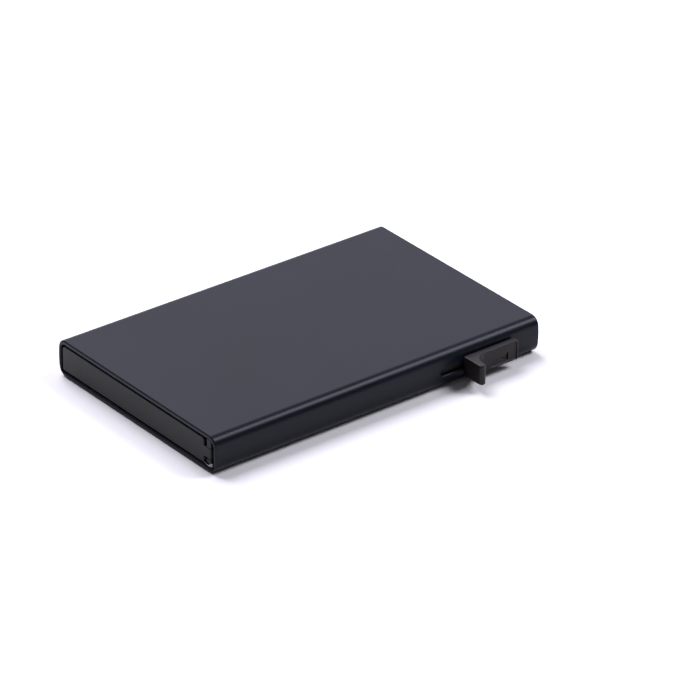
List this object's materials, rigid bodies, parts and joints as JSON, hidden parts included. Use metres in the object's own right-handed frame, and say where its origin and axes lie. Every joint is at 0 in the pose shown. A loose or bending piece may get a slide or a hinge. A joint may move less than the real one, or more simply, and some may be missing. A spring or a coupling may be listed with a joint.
{
  "type": "card wallet",
  "caption": "Slim rigid metal card case with a side thumb slider that fans the cards out through a sprung end door.",
  "frame": {"origin": "centre of the flat face the wallet lies on, midway along and across the case without the slider", "axes": "+X along the case from the door to the closed end, -Y towards the slider's side, +Z through the thickness"},
  "size_m": [0.0978, 0.0698, 0.0099],
  "materials": {
    "anodised_case": "fine bead-blasted dark blue-black anodising, satin",
    "black_plastic": "fine moulded texture, matt black",
    "slider_plastic": "semi-gloss moulded warm black",
    "tray_plastic": "plain moulded black",
    "steel": "turned and plated steel",
    "spring_steel": "bright spring steel",
    "felt": "dense pressed felt",
    "rubber": "matt black rubber"
  },
  "bodies": {
    "case": {"case_shell": "anodised_case", "end_cap": "black_plastic", "tray_floor": "tray_plastic", "tray_roof": "tray_plastic", "tray_screw_inner": "steel", "tray_screw_outer": "steel", "hinge_block": "black_plastic", "door_pin": "steel", "slider_bumper": "rubber", "floor_pad": "felt", "roof_pad": "felt", "card_spring_left": "spring_steel", "card_spring_rivet_left": "steel", "card_spring_right": "spring_steel", "card_spring_rivet_right": "steel"},
    "slider": {"thumb_slider": "slider_plastic", "slider_carriage": "tray_plastic", "carriage_screw": "steel", "drag_spring": "spring_steel", "card_pusher": "black_plastic", "pusher_pin_lower": "steel", "pusher_pin_upper": "steel"},
    "door": {"door": "black_plastic", "door_spring": "spring_steel"}
  },
  "joints": [
    {"name": "slider_push", "type": "slide", "parent": "case", "child": "slider", "axis": [-1, 0, 0], "range_m": [0, 0.016]},
    {"name": "door_swing", "type": "hinge", "parent": "case", "child": "door", "pos_m": [-0.04765, -0.02835, 0.00495], "axis": [0, 0, 1], "range_deg": [0, 95], "stiffness_Nm_per_rad": 0.0008, "springref_deg": -45.84}
  ]
}
